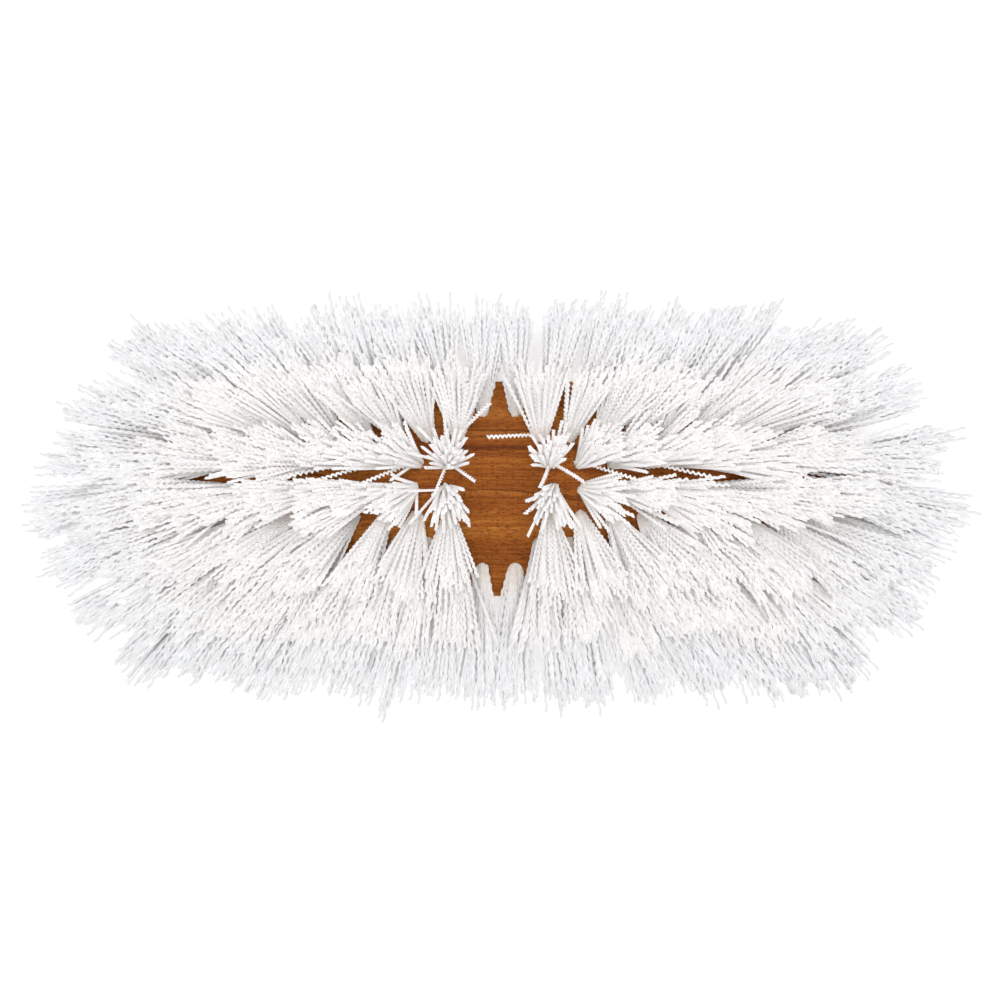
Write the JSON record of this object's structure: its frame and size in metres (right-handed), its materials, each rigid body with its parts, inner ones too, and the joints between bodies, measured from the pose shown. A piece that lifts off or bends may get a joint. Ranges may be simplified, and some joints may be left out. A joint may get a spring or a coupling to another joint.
{
  "type": "deck brush head",
  "caption": "Deck scrubbing brush head: an oiled wooden block with rounded ends, filled with splayed rows of white crimped bristle round a bare middle, and a slanted handle socket in its back.",
  "frame": {"origin": "on the flat back of the block, under the middle of the brush, which lies on its back with the bristle up", "axes": "+X along the block, +Y across it, +Z out of the bristle face"},
  "size_m": [0.2788, 0.1248, 0.087],
  "materials": {
    "beech": "oiled, satin",
    "bristle": "white crimped synthetic filament",
    "anchor_steel": "bright flat wire"
  },
  "bodies": {
    "root": {"block": "beech", "bristle_bank_left_upper": "bristle", "bristle_bank_left_lower": "bristle", "bristle_bank_right_upper": "bristle", "bristle_bank_right_lower": "bristle", "anchor_row_1_left": "anchor_steel", "anchor_row_2_left": "anchor_steel", "anchor_row_3_left": "anchor_steel", "anchor_row_4_left": "anchor_steel", "anchor_row_5_left": "anchor_steel", "anchor_row_6_left": "anchor_steel", "anchor_row_7_left": "anchor_steel", "anchor_row_1_right": "anchor_steel", "anchor_row_2_right": "anchor_steel", "anchor_row_3_right": "anchor_steel", "anchor_row_4_right": "anchor_steel", "anchor_row_5_right": "anchor_steel", "anchor_row_6_right": "anchor_steel", "anchor_row_7_right": "anchor_steel"}
  },
  "joints": []
}
